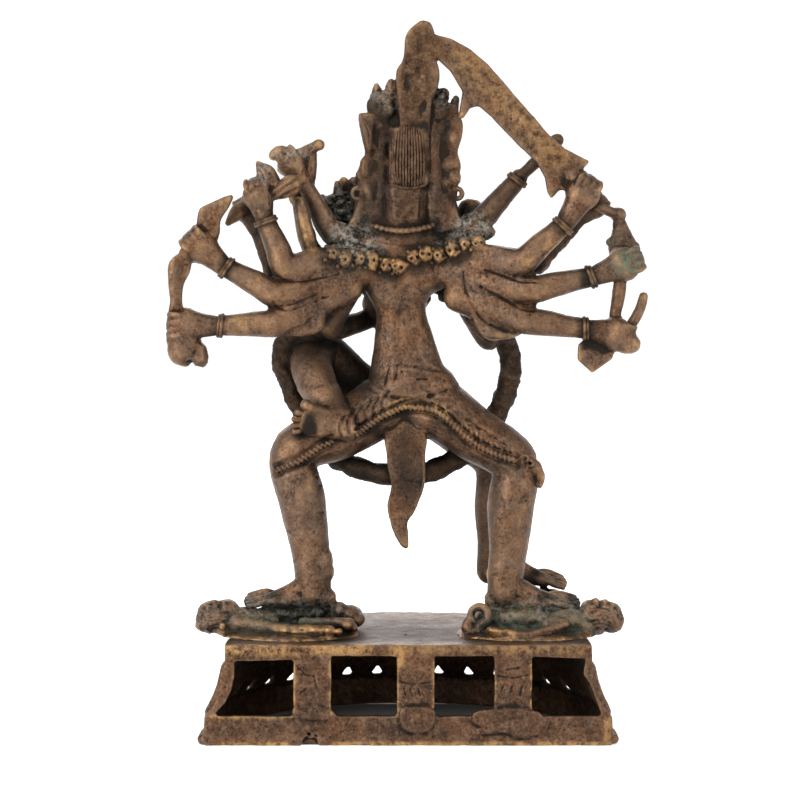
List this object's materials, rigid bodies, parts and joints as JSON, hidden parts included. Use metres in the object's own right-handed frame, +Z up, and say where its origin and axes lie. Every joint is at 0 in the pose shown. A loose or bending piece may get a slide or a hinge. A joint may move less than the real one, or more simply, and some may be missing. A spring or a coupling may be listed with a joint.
{
  "type": "bronze deity statue on lotus plinth",
  "caption": "Cast bronze figure of a many-armed striding deity embracing his consort, standing on a hollow lotus plinth with a pierced flat back.",
  "frame": {"origin": "middle of the statue's box, on the surface that the plinth stands on", "axes": "+Z up, the figures face -Y, the plinth's flat back faces +Y, +X is the deity's own left"},
  "size_m": [0.1196, 0.057, 0.178],
  "materials": {
    "plinth_bronze": "aged bronze, brown patina",
    "figure_bronze": "aged bronze, brown patina, worn golden on edges"
  },
  "bodies": {
    "root": {"lotus_plinth": "plinth_bronze", "figure_group": "figure_bronze"}
  },
  "joints": []
}
